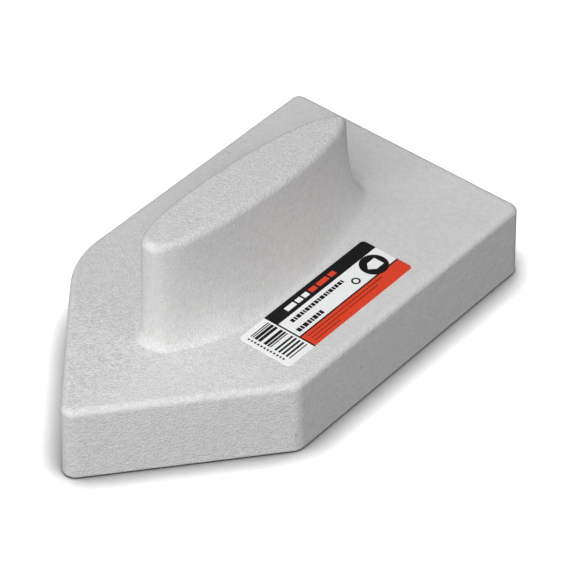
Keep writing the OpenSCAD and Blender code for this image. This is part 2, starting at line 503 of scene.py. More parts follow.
@dataclass
class Shell:
    """A closed foam shell that grows ring by ring from its underside to its top.

    Every point keeps a lift, the way and the share by which the relief may sink it, and its
    peel and scuff, the strength of the beads and of the scuffs on the skin there.
    """

    points: list[Vector] = field(default_factory=list)
    lifts: list[Vector] = field(default_factory=list)
    peels: list[float] = field(default_factory=list)
    scuffs: list[float] = field(default_factory=list)
    faces: list[tuple[int, ...]] = field(default_factory=list)
    hard_rings: list[list[int]] = field(default_factory=list)

    def point(self, place: Vector, lift: Vector, peel: float, scuff: float) -> int:
        """Adds a point.

        Args:
            place: Where it is.
            lift: The way and the share by which the relief may sink it.
            peel: Strength of the beads on the skin there.
            scuff: Strength of the scuffs there.

        Returns:
            Its number.
        """
        self.points.append(place)
        self.lifts.append(lift)
        self.peels.append(peel)
        self.scuffs.append(scuff)
        return len(self.points) - 1

    def bridge(self, lower: Sequence[int], upper: Sequence[int]) -> None:
        """Joins two rings of equal length with quads.

        Args:
            lower: The lower ring's points, counter-clockwise from above.
            upper: The upper ring's points.
        """
        count = len(lower)
        for i in range(count):
            j = (i + 1) % count
            self.faces.append((lower[i], lower[j], upper[j], upper[i]))

    def cap(self, rim: Sequence[int], spacing: float, place: Callable[[float, float], Vector],
            skin: Callable[[Vector], tuple[float, float]], upward: bool) -> None:
        """Closes a convex ring with an even net of triangles.

        Args:
            rim: The ring's points, counter-clockwise from above.
            spacing: Distance between the net's points.
            place: Gives the height of the surface as a point over x and y.
            skin: Gives peel and scuff at a point.
            upward: Whether the cap faces up.
        """
        outline = [self.points[i].xy for i in rim]
        inner = list(net_points(outline, spacing))
        count = len(outline)
        edges = [(i, (i + 1) % count) for i in range(count)]
        spots = [Vector(p) for p in outline + inner]
        _, _, faces, origins, _, _ = delaunay_2d_cdt(spots, edges, [], 1, 1e-5)
        numbers = list(rim)
        lift = Vector((0.0, 0.0, 1.0 if upward else 0.0))
        for x, y in inner:
            spot = place(x, y)
            numbers.append(self.point(spot, lift, *skin(spot)))
        for face in faces:
            corners = [numbers[origins[i][0]] for i in face]
            a, b, c = (self.points[i] for i in corners[:3])
            facing_up = (b - a).cross(c - a).z > 0
            self.faces.append(tuple(corners if facing_up == upward else reversed(corners)))

    def object(self, name: str) -> bpy.types.Object:
        """Makes the mesh object, with the lift, peel and scuff as attributes.

        Args:
            name: The piece's name.

        Returns:
            The new piece.
        """
        mesh = bpy.data.meshes.new(name)
        mesh.from_pydata([p * MM for p in self.points], [], self.faces)
        lift = mesh.attributes.new("lift", "FLOAT_VECTOR", "POINT")
        lift.data.foreach_set("vector", [v for p in self.lifts for v in p])
        for attribute, values in (("peel", self.peels), ("scuff", self.scuffs)):
            mesh.attributes.new(attribute, "FLOAT", "POINT").data.foreach_set("value", values)
        mesh.shade_smooth()
        hard = {frozenset((ring[i - 1], ring[i])) for ring in self.hard_rings for i in range(len(ring))}
        for edge in mesh.edges:
            if frozenset(edge.vertices) in hard:
                edge.use_edge_sharp = True
        mesh.update()
        return stand(name, mesh)


def net_points(outline: Sequence[Vector], spacing: float) -> Iterable[Flat]:
    """Gives the points of an even triangular net inside a convex outline.

    Args:
        outline: The outline's corners in order.
        spacing: Distance between neighbours.

    Returns:
        The points, none nearer the outline than about half a spacing.
    """
    count = len(outline)
    low, high = min(p.y for p in outline), max(p.y for p in outline)
    row_step = spacing * sqrt(3) / 2
    rows = int((high - low) / row_step)
    for row in range(1, rows + 1):
        y = low + row * row_step
        if y > high - 0.4 * spacing:
            continue
        crossings = []
        for i in range(count):
            a, b = outline[i], outline[(i + 1) % count]
            if (a.y <= y) != (b.y <= y):
                crossings.append(a.x + (b.x - a.x) * (y - a.y) / (b.y - a.y))
        start, end = min(crossings), max(crossings)
        shift = 0.5 * (row % 2)
        first = ceil((start + 0.6 * spacing) / spacing - shift)
        x = (first + shift) * spacing
        while x < end - 0.6 * spacing:
            yield x, y
            x += spacing


def arc(centre: Flat, radius: float, start: float, end: float, spacing: float) -> list[Flat]:
    """Gives evenly spaced points round an arc.

    Args:
        centre: The arc's centre.
        radius: Its radius.
        start: Where it starts, in degrees.
        end: Where it ends.
        spacing: Largest distance between neighbours.

    Returns:
        The points, both ends included.
    """
    steps = max(4, ceil(abs(radians(end - start)) * radius / spacing))
    angles = [radians(start + (end - start) * i / steps) for i in range(steps + 1)]
    return [(centre[0] + radius * cos(a), centre[1] + radius * sin(a)) for a in angles]


def ease(value: float, low: float, high: float) -> float:
    """Rises smoothly from 0 at low to 1 at high."""
    share = min(max((value - low) / (high - low), 0.0), 1.0)
    return share * share * (3 - 2 * share)


def towards_nose(spot: Vector) -> float:
    """Gives the share by which a place lies towards the nose."""
    return ease(spot.x, SMOOTH_UP_TO, ROUGH_FROM)


# ---- bead relief ----


def bead_relief_tree() -> bpy.types.NodeTree:
    """Builds the tree that sinks a foam shell between its beads.

    Returns:
        A tree that moves every point back along its lift, by waves and by pressed beads.
    """
    tree = bpy.data.node_groups.new("bead relief", "GeometryNodeTree")
    group_socket(tree, "Geometry", "Geometry")
    for name, value in (("Wave Depth", 0.1 * MM), ("Bead Depth", 0.05 * MM), ("Bead Size", 2.4 * MM)):
        group_socket(tree, name, "Float", value)
    group_socket(tree, "Seed", "Int", 1)
    group_socket(tree, "Foam", "Material")
    group_socket(tree, "Geometry", "Geometry", output=True)
    work = Tree(tree)
    given = work.add("NodeGroupInput").outputs
    place = work.add("GeometryNodeInputPosition").outputs[0]
    lift = work.add("GeometryNodeInputNamedAttribute", {"Name": "lift"}, data_type="FLOAT_VECTOR")
    waves = work.noise(place, 1 / (11 * MM), 1.5, given["Seed"])
    waves = work.maths("MULTIPLY", work.ramp(waves, 0.25, 0.75), given["Wave Depth"])
    per_bead = work.maths("DIVIDE", 1.0, given["Bead Size"])
    beads = work.cells(place, 1.0)
    tree.links.new(per_bead, beads.inputs["Scale"])
    grooves = work.maths("MULTIPLY", work.ramp(beads.outputs["Distance"], 0.15, 0.8), given["Bead Depth"])
    depth = work.maths("MULTIPLY", work.maths("ADD", waves, grooves), -1.0)
    sink = work.add("ShaderNodeVectorMath", {0: lift.outputs[0], "Scale": depth}, operation="SCALE")
    moved = work.add(
        "GeometryNodeSetPosition", {"Geometry": given["Geometry"], "Offset": sink.outputs["Vector"]}
    )
    real = work.add("GeometryNodeRealizeInstances", {"Geometry": moved.outputs[0]})
    dressed = work.add("GeometryNodeSetMaterial", {"Geometry": real.outputs[0], "Material": given["Foam"]})
    work.add("NodeGroupOutput", {"Geometry": dressed.outputs[0]})
    return tree


def run_nodes(piece: bpy.types.Object, tree: bpy.types.NodeTree, values: dict[str, Any]) -> None:
    """Runs a geometry tree over a piece and keeps the plain mesh that it makes.

    Args:
        piece: The object to change.
        tree: The geometry tree.
        values: A value for each of the tree's named inputs.
    """
    modifier = piece.modifiers.new(tree.name, "NODES")
    modifier.node_group = tree
    for item in tree.interface.items_tree:
        if item.item_type == "SOCKET" and item.in_out == "INPUT" and item.name in values:
            modifier[item.identifier] = values[item.name]
    bpy.context.view_layer.update()
    graph = bpy.context.evaluated_depsgraph_get()
    made = bpy.data.meshes.new_from_object(piece.evaluated_get(graph), depsgraph=graph)
    piece.modifiers.clear()
    source = piece.data
    piece.data = made
    bpy.data.meshes.remove(source)
    made.name = piece.name


def press_beads(piece: bpy.types.Object, relief: bpy.types.NodeTree, foam: bpy.types.Material) -> None:
    """Sinks the relief of the pressed beads into a foam piece and dresses it."""
    run_nodes(piece, relief, {"Foam": foam, "Seed": RELIEF_SEED, "Wave Depth": WAVE_DEPTH * MM})


def declare(piece: bpy.types.Object, slot: Slot, *nodes: str) -> None:
    """Ties a finished piece to the frame and reports it.

    Args:
        piece: The finished piece.
        slot: Not used.
        nodes: The CAD nodes that it stands for.
    """
    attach(piece, BODY)
    if nodes:
        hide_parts(*nodes)
    LOG.info("%s: %d faces, for %s", piece.name, len(piece.data.polygons), ", ".join(nodes) or "no node")


# ---- the foam moulding ----


@dataclass
class Plate:
    """The thick plate: a rectangle behind, an arrow in front, with softened edges."""

    length: float
    width: float
    thickness: float
    nose_angle: float = 80.0
    nose_radius: float = 6.5
    near_shoulder: float = 9.0
    far_shoulder: float = 49.0
    rear_radius: float = 6.0
    edge_radius: float = 3.5
    base_radius: float = 1.0
    wall_lean: float = 0.8
    wall_peel: float = 0.45
    nose_wall_gain: float = 0.2
    relief_fade: float = 3.0
    spacing: float = 1.05
    under_spacing: float = 5.0

    @classmethod
    def from_frame(cls) -> "Plate":
        """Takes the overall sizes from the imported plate.

        Returns:
            The plate.
        """
        low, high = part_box("plate")
        size = [(b - a) / MM for a, b in zip(low, high)]
        return cls(length=size[0], width=size[1], thickness=size[2])

    def outline(self, inset: float) -> list[Flat]:
        """Gives the plate's outline.

        Args:
            inset: How far it is moved inwards.

        Returns:
            Its points, counter-clockwise from above.
        """
        normal = 90 - self.nose_angle / 2
        half_length, half_width = self.length / 2, self.width / 2
        nose_wall = (half_length - self.nose_radius) * cos(radians(normal)) + self.nose_radius

        def shoulder(radius: float) -> Flat:
            """Gives the centre of a shoulder on the label's side."""
            away = half_width - radius
            return (nose_wall - radius - away * sin(radians(normal))) / cos(radians(normal)), away

        nose = (half_length - self.nose_radius, 0.0)
        near, far = shoulder(self.near_shoulder), shoulder(self.far_shoulder)
        rear = (-half_length + self.rear_radius, half_width - self.rear_radius)
        turns = [
            (nose, self.nose_radius, -normal, normal),
            (near, self.near_shoulder, normal, 90.0),
            (rear, self.rear_radius, 90.0, 180.0),
            ((rear[0], -rear[1]), self.rear_radius, 180.0, 270.0),
            ((far[0], -far[1]), self.far_shoulder, 270.0, 360.0 - normal),
        ]
        corners = []
        for centre, radius, start, end in turns:
            steps = max(6, ceil(radians(end - start) * radius / self.spacing))
            for i in range(steps + 1):
                a, reach = radians(start + (end - start) * i / steps), radius - inset
                corners.append((centre[0] + reach * cos(a), centre[1] + reach * sin(a)))
        return corners

    def ring_plan(self) -> tuple[list[Flat], list[Flat]]:
        """Spreads points round the outline of the working face.

        Returns:
            The points with an even spacing, and the way out at each.
        """
        outer, inner = self.outline(0.0), self.outline(1.0)
        points, ways = [], []
        for i, (a, a_in) in enumerate(zip(outer, inner)):
            b, b_in = outer[(i + 1) % len(outer)], inner[(i + 1) % len(inner)]
            steps = max(1, ceil(hypot(b[0] - a[0], b[1] - a[1]) / (1.4 * self.spacing)))
            for k in range(steps):
                share = k / steps
                spot = (a[0] + (b[0] - a[0]) * share, a[1] + (b[1] - a[1]) * share)
                inside = (a_in[0] + (b_in[0] - a_in[0]) * share, a_in[1] + (b_in[1] - a_in[1]) * share)
                points.append(spot)
                ways.append((spot[0] - inside[0], spot[1] - inside[1]))
        return points, ways

    def profile(self) -> list[tuple[float, float, float]]:
        """Gives the wall's rings from the bottom up.

        Returns:
            For each ring its inset, its height and the rise of its normal, in radians.
        """
        rings = [(self.base_radius * (1 - sin(a)), self.base_radius * (1 - cos(a)), a - pi / 2)
                 for a in (radians(30.0 * i) for i in range(4))]
        top = self.thickness - self.edge_radius
        steps = ceil((top - self.base_radius) / self.spacing)
        for i in range(1, steps):
            height = self.base_radius + (top - self.base_radius) * i / steps
            rings.append((self.wall_lean * (height / top), height, 0.0))
        for i in range(9):
            a = radians(90.0 * i / 8)
            inset = self.wall_lean + self.edge_radius * (1 - cos(a))
            rings.append((inset, top + self.edge_radius * sin(a), a))
        return rings

    def skin(self, spot: Vector) -> tuple[float, float]:
        """Gives the skin on the back of the plate: rougher towards the nose, scuffed before the handle.

        Args:
            spot: The place.

        Returns:
            Peel and scuff.
        """
        peel = SMOOTH_PEEL + PEEL_GAIN * towards_nose(spot)
        scuff = ease(spot.x, 40.0, 72.0) * ease(-spot.y, -30.0, 8.0)
        return peel, scuff

    def build(self, finishes: Finishes, relief: bpy.types.NodeTree) -> bpy.types.Object:
        """Makes the plate.

        Args:
            finishes: The tool's finishes.
            relief: The bead relief tree.

        Returns:
            The finished piece.
        """
        shell = Shell()
        points, ways = self.ring_plan()
        rings = []
        for inset, height, rise in self.profile():
            ring = []
            share = min(height / self.relief_fade, 1.0)
            for (x, y), (way_x, way_y) in zip(points, ways):
                spot = Vector((x - way_x * inset, y - way_y * inset, height))
                lift = Vector((way_x * cos(rise), way_y * cos(rise), max(sin(rise), 0.0))) * share
                flat_peel, scuff = self.skin(spot)
                wall_peel = self.wall_peel + self.nose_wall_gain * ease(way_x, 0.2, 0.6)
                turn = sin(max(rise, 0.0)) ** 2
                peel = wall_peel + (flat_peel - wall_peel) * turn
                ring.append(shell.point(spot, lift, peel, scuff * turn))
            if rings:
                shell.bridge(rings[-1], ring)
            rings.append(ring)
        top = self.thickness
        shell.cap(rings[-1], self.spacing, lambda x, y: Vector((x, y, top)), self.skin, upward=True)
        shell.cap(rings[0], self.under_spacing, lambda x, y: Vector((x, y, 0.0)), self.skin, upward=False)
        piece = shell.object("foam_plate")
        press_beads(piece, relief, finishes.of(Slot.FOAM))
        declare(piece, Slot.FOAM, "plate")
        return piece


@dataclass
class Handle:
    """The block handle, moulded in one with the plate: a tall leaf that flares at its foot."""

    base: float
    length: float = 140.0
    width: float = 29.8
    height: float = 55.4
    crown_arch: float = 0.4
    centre: float = -3.8
    crown_slope: float = 3.8
    crown_radius: float = 4.0
    side_draft: float = 4.8
    nose_draft: float = 0.5
    rear_draft: float = 2.0
    side_foot: Flat = (8.2, 46.0)
    rear_foot: Flat = (12.0, 44.0)
    nose_foot: Flat = (3.0, 6.0)
    nose_fullness: float = 2.5
    rear_fullness: float = 1.9
    wall_peel: float = 0.42
    crown_peel: float = 0.8
    crown_scuff: float = 0.35
    blend_height: float = 14.0
    thin_foot: float = 3.0
    spacing: float = 0.95
    under_spacing: float = 6.0

    @property
    def wall_top(self) -> float:
        """Height over the plate at which the crown's edge starts to round."""
        return self.height - self.crown_radius

    def leaf(self, angle: float) -> Flat:
        """Gives the leaf-shaped outline at a size of 1.

        Args:
            angle: Angle round the leaf.

        Returns:
            The share of the half-length and the share of the half-width.
        """
        power = 2 / (self.nose_fullness if cos(angle) > 0 else self.rear_fullness)
        along = copysign(abs(cos(angle)) ** power, cos(angle))
        across = copysign(abs(sin(angle)) ** power, sin(angle))
        return along, across

    def even_angles(self) -> list[float]:
        """Spreads angles round the leaf.

        Returns:
            Angles whose points lie evenly a little way up the foot.
        """
        samples, foot_grow = 4000, 2
        spots = []
        for i in range(samples + 1):
            along, across = self.leaf(2 * pi * i / samples)
            spots.append((along * self.length / 2, across * (self.width / 2 + foot_grow)))
        run = [0.0]
        for a, b in zip(spots, spots[1:]):
            run.append(run[-1] + hypot(b[0] - a[0], b[1] - a[1]))
        count = ceil(run[-1] / self.spacing)
        angles, k = [], 0
        for i in range(count):
            goal = run[-1] * i / count
            while run[k + 1] < goal:
                k += 1
            share = (goal - run[k]) / (run[k + 1] - run[k])
            angles.append(2 * pi * (k + share) / samples)
        return angles

    @staticmethod
    def sweep(height: float, foot: Flat) -> float:
        """Gives how far a concave foot stands out.

        Args:
            height: Height over the plate.
            foot: The foot's reach and its rise.

        Returns:
            The distance from the wall.
        """
        reach, rise = foot
        if height >= rise:
            return 0.0
        return reach * (1 - sqrt(1 - (1 - height / rise) ** 2))

    def rise_at(self, along: float, x: float) -> float:
        """Gives the share by which the crown stands higher or lower than its mean at x."""
        arch = self.crown_arch * (1 - min(abs(along), 1.0) ** 2)
        return (arch + x * tan(radians(self.crown_slope))) / self.height

    def place(self, angle: float, height: float, grow: float) -> Vector:
        """Gives a point of the handle.

        Args:
            angle: Angle round the leaf.
            height: Height over the plate, before the crown's arch and slope are added.
            grow: How far the ring is grown evenly, negative inside the crown's edge.

        Returns:
            The point.
        """
        along, across = self.leaf(angle)
        fall = max(self.wall_top - height, 0.0)
        end_draft, end_foot = (
            (self.nose_draft, self.nose_foot) if along > 0 else (self.rear_draft, self.rear_foot)
        )
        # the long sweep of the sides dies out round the nose end
        nosed = ease(along, 0.5, 0.95)
        side = self.sweep(height, self.side_foot) * (1 - nosed) + self.sweep(height, self.nose_foot) * nosed
        ends = fall * tan(radians(end_draft)) + self.sweep(height, end_foot)
        sides = fall * tan(radians(self.side_draft)) + side
        x = (self.length / 2 + grow + ends) * along
        y = (self.width / 2 + grow + sides) * across
        return Vector((self.centre + x, y, self.base + height * (1 + self.rise_at(along, x))))

    def rings(self) -> list[Flat]:
        """Spreads rings up the handle, closer where the foot runs out into the plate.

        Returns:
            Height and grow of each ring from the foot up.
        """
        top, thin = self.wall_top, self.thin_foot
        heights = [thin * (i / 8) ** 2 for i in range(9)]
        steps = ceil((top - thin) / self.spacing)
        heights += [thin + (top - thin) * i / steps for i in range(1, steps)]
        rings = [(height, 0.0) for height in heights]
        for i in range(11):
            a = radians(90.0 * i / 10)
            rings.append((top + self.crown_radius * sin(a), -self.crown_radius * (1 - cos(a))))
        return rings

    def build(self, finishes: Finishes, relief: bpy.types.NodeTree) -> bpy.types.Object:
        """Makes the handle.

        Args:
            finishes: The tool's finishes.
            relief: The bead relief tree.

        Returns:
            The finished piece.
        """
        shell = Shell()
        angles = self.even_angles()
        step = 1e-3
        loops = []
        for height, grow in self.rings():
            loop = []
            for angle in angles:
                spot = self.place(angle, height, grow)
                round_way = self.place(angle + step, height, grow) - self.place(angle - step, height, grow)
                out = Vector((round_way.y, -round_way.x, 0.0)).normalized()
                over = (height - self.wall_top) / self.crown_radius
                rise = asin(min(max(over, 0.0), 1.0))
                foot = max(1 - height / self.thin_foot, 0.0)
                lift = Vector((out.x * cos(rise), out.y * cos(rise), sin(rise)))
                lift = lift.lerp(Vector((0.0, 0.0, 1.0)), foot)
                loop.append(shell.point(spot, lift, *self.skin(spot, rise)))
            if loops:
                shell.bridge(loops[-1], loop)
            loops.append(loop)
        crown_skin, under_skin = lambda spot: self.skin(spot, pi / 2), lambda spot: (0.3, 0.0)
        shell.cap(loops[-1], self.spacing, self.crown_point, crown_skin, upward=True)
        shell.cap(loops[0], self.under_spacing, lambda x, y: Vector((x, y, self.base)), under_skin,
                  upward=False)
        shell.hard_rings.append(loops[0])
        piece = shell.object("foam_handle")
        press_beads(piece, relief, finishes.of(Slot.FOAM))
        declare(piece, Slot.FOAM, "handle")
        return piece

    def crown_point(self, x: float, y: float) -> Vector:
        """Gives the crown's surface.

        Args:
            x: Place along the plate.
            y: Place across it.

        Returns:
            The point of the crown over that place.
        """
        out = x - self.centre
        along = out / (self.length / 2 - self.crown_radius)
        return Vector((x, y, self.base + self.height * (1 + self.rise_at(along, out))))

    def skin(self, spot: Vector, rise: float) -> tuple[float, float]:
        """Gives the skin: rough on the crown, smoother down the walls, like the plate at the foot.

        Args:
            spot: The place.
            rise: The rise of the surface's normal there, in radians.

        Returns:
            Peel and scuff.
        """
        crown = sin(rise)
        low = 1 - ease(spot.z - self.base, 0.0, self.blend_height)
        back = SMOOTH_PEEL + PEEL_GAIN * towards_nose(spot)
        wall = self.wall_peel + low * (back - self.wall_peel)
        scuff = self.crown_scuff * crown * ease(spot.x, 10.0, 50.0)
        return wall + (self.crown_peel - wall) * crown, scuff


# ---- the label ----


def block_tree() -> bpy.types.NodeTree:
    """Builds the tree that sets a printed block on every point of a layout.

    Returns:
        A tree that reads each point's own length and width from its attributes.
    """
    tree = bpy.data.node_groups.new("printed blocks", "GeometryNodeTree")
    group_socket(tree, "Geometry", "Geometry")
    group_socket(tree, "Ink Thickness", "Float", 0.05 * MM)
    group_socket(tree, "Ink", "Material")
    group_socket(tree, "Geometry", "Geometry", output=True)
    work = Tree(tree)
    given = work.add("NodeGroupInput").outputs
    length = work.add("GeometryNodeInputNamedAttribute", {"Name": "run"}, data_type="FLOAT")
    width = work.add("GeometryNodeInputNamedAttribute", {"Name": "breadth"}, data_type="FLOAT")
    size = work.add(
        "ShaderNodeCombineXYZ",
        {"X": length.outputs[0], "Y": width.outputs[0], "Z": given["Ink Thickness"]},
    )
    block = work.add("GeometryNodeMeshCube", {"Size": (1.0, 1.0, 1.0)})
    lifted = work.add(
        "GeometryNodeTransform", {"Geometry": block.outputs["Mesh"], "Translation": (0.0, 0.0, 0.5)}
    )
    placed = work.add(
        "GeometryNodeInstanceOnPoints",
        {"Points": given["Geometry"], "Instance": lifted.outputs[0], "Scale": size.outputs[0]},
    )
    real = work.add("GeometryNodeRealizeInstances", {"Geometry": placed.outputs[0]})
    dressed = work.add("GeometryNodeSetMaterial", {"Geometry": real.outputs[0], "Material": given["Ink"]})
    work.add("NodeGroupOutput", {"Geometry": dressed.outputs[0]})
    return tree


@dataclass(frozen=True)
class Block:
    """A printed block, placed by its corner nearest the nose and the handle."""

    u: float
    v: float
    run: float
    breadth: float


@dataclass(frozen=True)
class Row:
    """A row of blocks in place of a line of wording: its start, end and place across the label."""

    start: float
    end: float
    v_share: float
    height: float


@dataclass
class Label:
    """The printed label beside the handle.

    u runs from its nose end to its rear end, v from the handle's side to the plate's long
    side, both from the corner nearest the nose and the handle.
    """

    low: Vector
    high: Vector
    top: float
    corner: float = 2.2
    ink: float = 0.05
    code_share: float = 0.2
    band_share: float = 0.26
    panel_share: float = 0.29
    rule: float = 0.9
    code_bars: tuple[tuple[int, int], ...] = (
        (1, 1), (1, 1), (3, 1), (3, 3), (3, 1), (2, 1), (1, 4), (2, 2), (2, 2), (2, 2),
        (2, 2), (1, 1),
    )
    strokes: tuple[float, ...] = (1.3, 0.8, 1.6, 1.0, 0.7, 1.4, 0.9, 1.2)
    captions: tuple[Row, ...] = (Row(24.5, 62.0, 0.335, 2.28), Row(21.5, 39.5, 0.54, 2.584))
    small_print: tuple[Row, ...] = (
        Row(22.0, 76.0, 0.765, 0.65), Row(22.0, 70.0, 0.835, 0.65), Row(22.0, 40.0, 0.905, 0.65),
    )
    digits: int = 12
    pale_dashes: tuple[Flat, ...] = ((29.0, 6.4), (36.6, 3.6), (41.3, 3.6))
    red_dashes: tuple[Flat, ...] = ((46.4, 4.4), (52.0, 7.4), (60.6, 4.0))
    dash_share: float = 0.36
    sign_radii: Flat = (2.3, 1.4)
    disc_radius: float = 7.2
    float_outline: tuple[Flat, ...] = ((-4.5, 0.0), (-1.5, -3.0), (4.0, -3.0), (4.0, 3.0), (-1.5, 3.0))

    @classmethod
    def from_frame(cls) -> "Label":
        """Takes the label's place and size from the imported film."""
        low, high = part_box("label_film")
        return cls(low=Vector(low) / MM, high=Vector(high) / MM, top=high[2] / MM)

    @property
    def length(self) -> float:
        """Length along the plate."""
        return self.high.x - self.low.x

    @property
    def width(self) -> float:
        """Width across the plate."""
        return self.high.y - self.low.y

    def place(self, u: float, v: float) -> Flat:
        """Turns u and v into the tool's own x and y."""
        return self.high.x - u, self.low.y + v

    def panel(self, u: Flat, v: Flat, corners: Sequence[float]) -> list[Flat]:
        """Gives a box in u and v whose four corners may be rounded.

        Args:
            u: Where the box starts and ends along the label.
            v: Where it starts and ends across it.
            corners: Radii at (start, start), (end, start), (end, end), (start, end).

        Returns:
            The outline in u and v.
        """
        outline: list[Flat] = []
        spots = [(u[0], v[0], 180.0), (u[1], v[0], 270.0), (u[1], v[1], 0.0), (u[0], v[1], 90.0)]
        for (a, b, start), radius in zip(spots, corners):
            if not radius:
                outline.append((a, b))
                continue
            inward = copysign(radius, (u[0] + u[1]) / 2 - a), copysign(radius, (v[0] + v[1]) / 2 - b)
            outline += arc((a + inward[0], b + inward[1]), radius, start, start + 90.0, 0.4)
        return outline

    def sheet(self, name: str, outlines: Sequence[Sequence[Flat]], bottom: float, top: float,
              material: bpy.types.Material) -> bpy.types.Object:
        """Makes flat closed sheets with a slightly rounded upper edge.

        Args:
            name: The piece's name.
            outlines: The sheets' outlines in u and v.
            bottom: Height of the underside.
            top: Height of the face.
            material: The finish.

        Returns:
            The new piece.
        """
        soft = 0.4 * (top - bottom)
        mesh = bpy.data.meshes.new(name)
        built = bmesh.new()
        for outline in outlines:
            middle = Vector((sum(p[0] for p in outline), sum(p[1] for p in outline))) / len(outline)
            loops = []
            for height, inset in ((bottom, 0.0), (top - soft, 0.0), (top, soft)):
                loop = []
                for u, v in outline:
                    inner = Vector((u - copysign(inset, u - middle.x), v - copysign(inset, v - middle.y)))
                    x, y = self.place(*inner)
                    loop.append(built.verts.new(Vector((x, y, height)) * MM))
                loops.append(loop)
            for lower, upper in zip(loops, loops[1:]):
                for i in range(len(outline)):
                    j = (i + 1) % len(outline)
                    built.faces.new((lower[i], lower[j], upper[j], upper[i]))
            built.faces.new(loops[0])
            built.faces.new(loops[-1])
        bmesh.ops.recalc_face_normals(built, faces=built.faces)
        built.to_mesh(mesh)
        built.free()
        mesh.materials.append(material)
        return stand(name, mesh)

    def blocks(self, name: str, layout: Sequence[Block], bottom: float, tree: bpy.types.NodeTree,
               material: bpy.types.Material) -> bpy.types.Object:
        """Prints blocks on the label.

        Args:
            name: The piece's name.
            layout: The blocks.
            bottom: Height of the surface that they are printed on.
            tree: The printed blocks tree.
            material: The ink.

        Returns:
            The new piece.
        """
        mesh = bpy.data.meshes.new(name)
        spots = []
        for block in layout:
            x, y = self.place(block.u + block.run / 2, block.v + block.breadth / 2)
            spots.append(Vector((x, y, bottom)) * MM)
        mesh.from_pydata(spots, [], [])
        for attribute in ("run", "breadth"):
            values = [getattr(block, attribute) * MM for block in layout]
            mesh.attributes.new(attribute, "FLOAT", "POINT").data.foreach_set("value", values)
        made = stand(name, mesh)
        run_nodes(made, tree, {"Ink": material, "Ink Thickness": self.ink * MM})
        return made

    def code_layout(self) -> list[Block]:
        """Gives the bars of the code, stacked across the label.

        Returns:
            The bars as blocks.
        """
        start, end = 0.25 * self.code_share * self.length, 0.94 * self.code_share * self.length
        margin = 0.11 * self.width
        steps = sum(bar + gap for bar, gap in self.code_bars) - self.code_bars[-1][1]
        step = (self.width - 2 * margin) / steps
        made, run = [], 0
        for bar, gap in self.code_bars:
            made.append(Block(start, margin + run * step, end - start, bar * step))
            run += bar + gap
        return made

    def wording(self, rows: Sequence[Row], gap: float) -> list[Block]:
        """Gives rows of uneven blocks in place of lines of wording.

        Args:
            rows: The rows.
            gap: Distance between blocks.

        Returns:
            The blocks of all rows.
        """
        made, shortest = [], 0.3
        for row in rows:
            u, k = row.start, 0
            while u < row.end - shortest:
                run = min(self.strokes[k % len(self.strokes)] * row.height / max(self.strokes), row.end - u)
                made.append(Block(u, row.v_share * self.width, run, row.height))
                u += run + gap
                k += 1
        return made

    def dashes(self, spots: Sequence[Flat]) -> list[Block]:
        """Gives plain dashes along the title band, each from its place along u and its length."""
        inset = self.dash_share * self.band_share * self.width
        return [Block(u, inset, run, inset) for u, run in spots]

    def ring(self, name: str, centre: Flat, outer: float, inner: float, bottom: float,
             hole: Optional[Sequence[Flat]], material: bpy.types.Material) -> bpy.types.Object:
        """Prints a disc with a hole in it.

        Args:
            name: The piece's name.
            centre: Its place in u and v.
            outer: Its radius.
            inner: Radius of a round hole, when hole is not given.
            bottom: Height of the surface that it is printed on.
            hole: Outline of the hole about the centre.
            material: The ink.

        Returns:
            The new piece.
        """
        count = 60
        rim = [(outer * cos(2 * pi * i / count), outer * sin(2 * pi * i / count)) for i in range(count)]
        inside = list(hole or [(inner * cos(2 * pi * i / count), inner * sin(2 * pi * i / count))
                               for i in range(count)])
        outline = [Vector(p) for p in rim + inside]
        edges = [(i, (i + 1) % count) for i in range(count)]
        edges += [(count + i, count + (i + 1) % len(inside)) for i in range(len(inside))]
        faces = [list(range(count)), list(range(count, count + len(inside)))]
        flat, _, triangles, _, _, owners = delaunay_2d_cdt(outline, edges, faces, 0, 1e-6)
        built = bmesh.new()
        verts = []
        for p in flat:
            x, y = self.place(centre[0] + p.x, centre[1] + p.y)
            verts.append(built.verts.new(Vector((x, y, bottom)) * MM))
        for triangle, owner in zip(triangles, owners):
            if 0 in owner and 1 not in owner:
                built.faces.new([verts[i] for i in triangle])
        for loose in [v for v in built.verts if not v.link_faces]:
            built.verts.remove(loose)
        grown = bmesh.ops.extrude_face_region(built, geom=list(built.faces))
        raised = [g for g in grown["geom"] if isinstance(g, bmesh.types.BMVert)]
        bmesh.ops.translate(built, verts=raised, vec=(0.0, 0.0, self.ink * MM))
        bmesh.ops.recalc_face_normals(built, faces=built.faces)
        mesh = bpy.data.meshes.new(name)
        built.to_mesh(mesh)
        built.free()
        mesh.materials.append(material)
        return stand(name, mesh)

